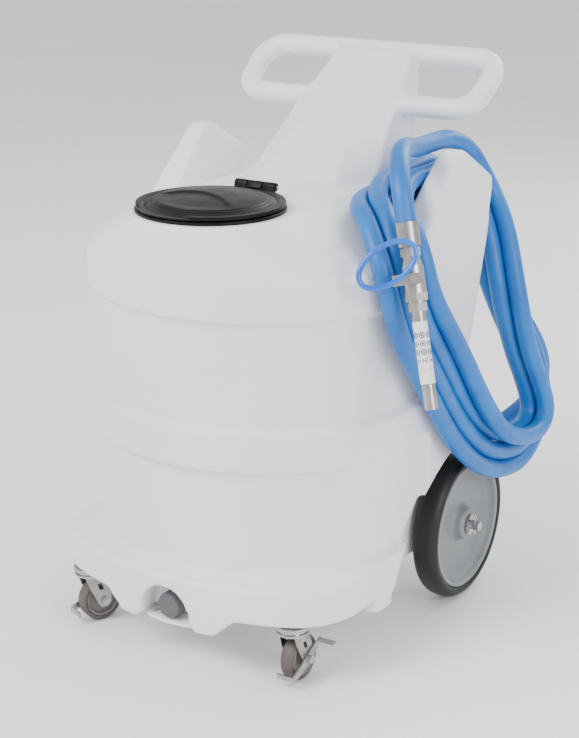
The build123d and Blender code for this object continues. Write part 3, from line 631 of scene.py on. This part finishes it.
# ---------------------------------------------------------------- drain
def add_drain():
    """Round cap with a blind bore, and the stub of its tether."""
    low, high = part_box("drain_cap")
    middle = (low + high) / 2
    length = high.y - low.y
    profile = [
        (0.0162, 0.0), (0.0205, 0.0), (0.0210, 0.004), (0.0210, length - 0.004), (0.0195, length),
        (0.0, length + 0.0002), (0.0, length - 0.005), (0.0162, length - 0.005),
    ]
    cap = lathe("drain_knob", rounded(profile, 0.0012, 3), (middle.x, high.y, middle.z), (0, -1, 0), 96)
    put(cap, "drain_plug", "drain_plastic", "drain_cap")
    route = [
        (middle.x - 0.016, low.y + 0.006, middle.z - 0.010),
        (middle.x - 0.024, low.y + 0.006, middle.z - 0.015),
        (middle.x - 0.031, low.y + 0.007, middle.z - 0.018),
    ]
    put(tube("drain_stub", route, 0.0016), "drain_plug", "drain_plastic")


def add_drain_tray():
    """Curved lip of the moulding under the drain cap, between the two front feet."""
    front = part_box("tank_base")[0].y
    half, back, low, high = 0.053, front + 0.058, 0.0690, 0.0745
    bulge = 0.018
    outline = [(half, back), (-half, back)]
    for k in range(25):
        x = -half + 2 * half * k / 24
        outline.append((x, front + 0.030 - bulge * (1 - (x / half) ** 2) ** 0.5))
    bm = bmesh.new()
    decks = [[bm.verts.new((x, y, z)) for x, y in outline] for z in (low, high)]
    bm.faces.new(decks[0])
    bm.faces.new(list(reversed(decks[1])))
    for i in range(len(outline)):
        j = (i + 1) % len(outline)
        bm.faces.new((decks[0][i], decks[1][i], decks[1][j], decks[0][j]))
    bmesh.ops.recalc_face_normals(bm, faces=bm.faces)
    put(bevelled(object_from(bm, "drain_tray"), 0.0015, 3, 40), "tank", "tank_plastic")


add_drain()
add_drain_tray()


# ---------------------------------------------------------------- valve handle and wand label
WAND_START = Vector((0.307, -0.136, 0.717))
WAND_AIM = Vector(RECORD["mounts"][0]["axis"]).normalized()
STEM = Vector(JOINTS["valve_turn"]["axis"]).normalized()
BALL = Vector(JOINTS["valve_turn"]["pos_m"])
LEFT = WAND_AIM.cross(STEM)
LABEL_RADIUS = 0.0112
INK_THICKNESS = 0.00008


def add_finger_loop():
    """Oval vinyl-dipped loop on the valve's stem."""
    long_half, short_half, wire = 0.0475, 0.0268, 0.0043
    middle = BALL + STEM * 0.0275 + LEFT * 0.036 - WAND_AIM * 0.026
    long_way = (LEFT + WAND_AIM * 0.5).normalized()
    short_way = STEM.cross(long_way)
    points = []
    for k in range(20):
        turn = 2 * math.pi * k / 20
        points.append(
            middle + long_way * long_half * math.cos(turn) + short_way * short_half * math.sin(turn))
    loop = tube("finger_loop", points, wire, cyclic=True)
    put(loop, "valve_lever", "handle_vinyl", "valve_handle_grip")
    return loop


def label_marks_in(name, outlines, ink):
    """Ink shapes wrapped round the wand's label, each an outer and an inner outline of (along, around)."""
    bm = bmesh.new()
    for outline in outlines:
        verts = []
        for along, around in outline:
            turn = around / LABEL_RADIUS
            out = STEM * math.cos(turn) + LEFT * math.sin(turn)
            verts.append(bm.verts.new(WAND_START + WAND_AIM * along + out * LABEL_RADIUS))
        half = len(verts) // 2
        for i in range(half):
            j = (i + 1) % half
            bm.faces.new((verts[i], verts[j], verts[half + j], verts[half + i]))
    bmesh.ops.recalc_face_normals(bm, faces=bm.faces)
    marks = object_from(bm, name)
    solid = marks.modifiers.new("thickness", "SOLIDIFY")
    solid.thickness = INK_THICKNESS
    apply_modifiers(marks)
    return put(marks, "tank", "label_film", material=INK[ink])


def ring_outline(along, around, outer, inner, corners):
    """Outer and then inner corners of a ring with so many sides."""
    turns = [2 * math.pi * k / corners + math.pi / corners for k in range(corners)]
    return [(along + r * math.cos(t), around + r * math.sin(t)) for r in (outer, inner) for t in turns]


def add_label_marks():
    """Generic rings and triangles in place of the label's icons."""
    first_row, row_pitch, column_pitch = 0.166, 0.0125, 0.0105
    blue = []
    for row, corners in enumerate((18, 6, 18, 4)):
        for column in (-1, 0, 1):
            along, around = first_row + row_pitch * row, column_pitch * column
            blue.append(ring_outline(along, around, 0.0045, 0.0031, corners))
            blue.append(ring_outline(along, around, 0.0016, 0.0002, corners))
    yellow = [ring_outline(0.2185, 0.006 * column, 0.0055, 0.0004, 3) for column in (-1, 1)]
    return [
        label_marks_in("label_marks_blue", blue, "blue"),
        label_marks_in("label_marks_yellow", yellow, "yellow"),
    ]


finger_loop = add_finger_loop()
label_marks = add_label_marks()


# ---------------------------------------------------------------- floor and light
def add_floor():
    """Wide white floor, outside the model."""
    bm = bmesh.new()
    bmesh.ops.create_grid(bm, x_segments=1, y_segments=1, size=14)
    floor = object_from(bm, "floor", smooth=False)
    material = finish_material(
        "floor_white", (0.9, 0.9, 0.9), (0.93, 0.93, 0.93), (0.5, 0.6), patch=1.0, relief=0.00002)
    floor.data.materials.append(material)


def add_light(name, place, aim, size, power):
    """Square area light that faces a point."""
    data = bpy.data.lights.new(name, "AREA")
    data.size = size
    data.energy = power
    light = bpy.data.objects.new(name, data)
    bpy.context.scene.collection.objects.link(light)
    light.location = place
    light.rotation_euler = (Vector(aim) - Vector(place)).to_track_quat("-Z", "Y").to_euler()


def add_world():
    """Even white surroundings."""
    world = bpy.data.worlds.new("studio")
    world.use_nodes = True
    world.node_tree.nodes["Background"].inputs["Color"].default_value = (1, 1, 1, 1)
    world.node_tree.nodes["Background"].inputs["Strength"].default_value = 1.0
    bpy.context.scene.world = world


add_floor()
add_world()
add_light("key", (-1.6, -3.2, 3.4), (0, 0, 0.4), 2.0, 190)
add_light("side", (3.4, -1.2, 2.0), (0, 0, 0.5), 1.6, 70)
add_light("back", (0.6, 3.2, 2.6), (0, 0, 0.6), 2.2, 90)
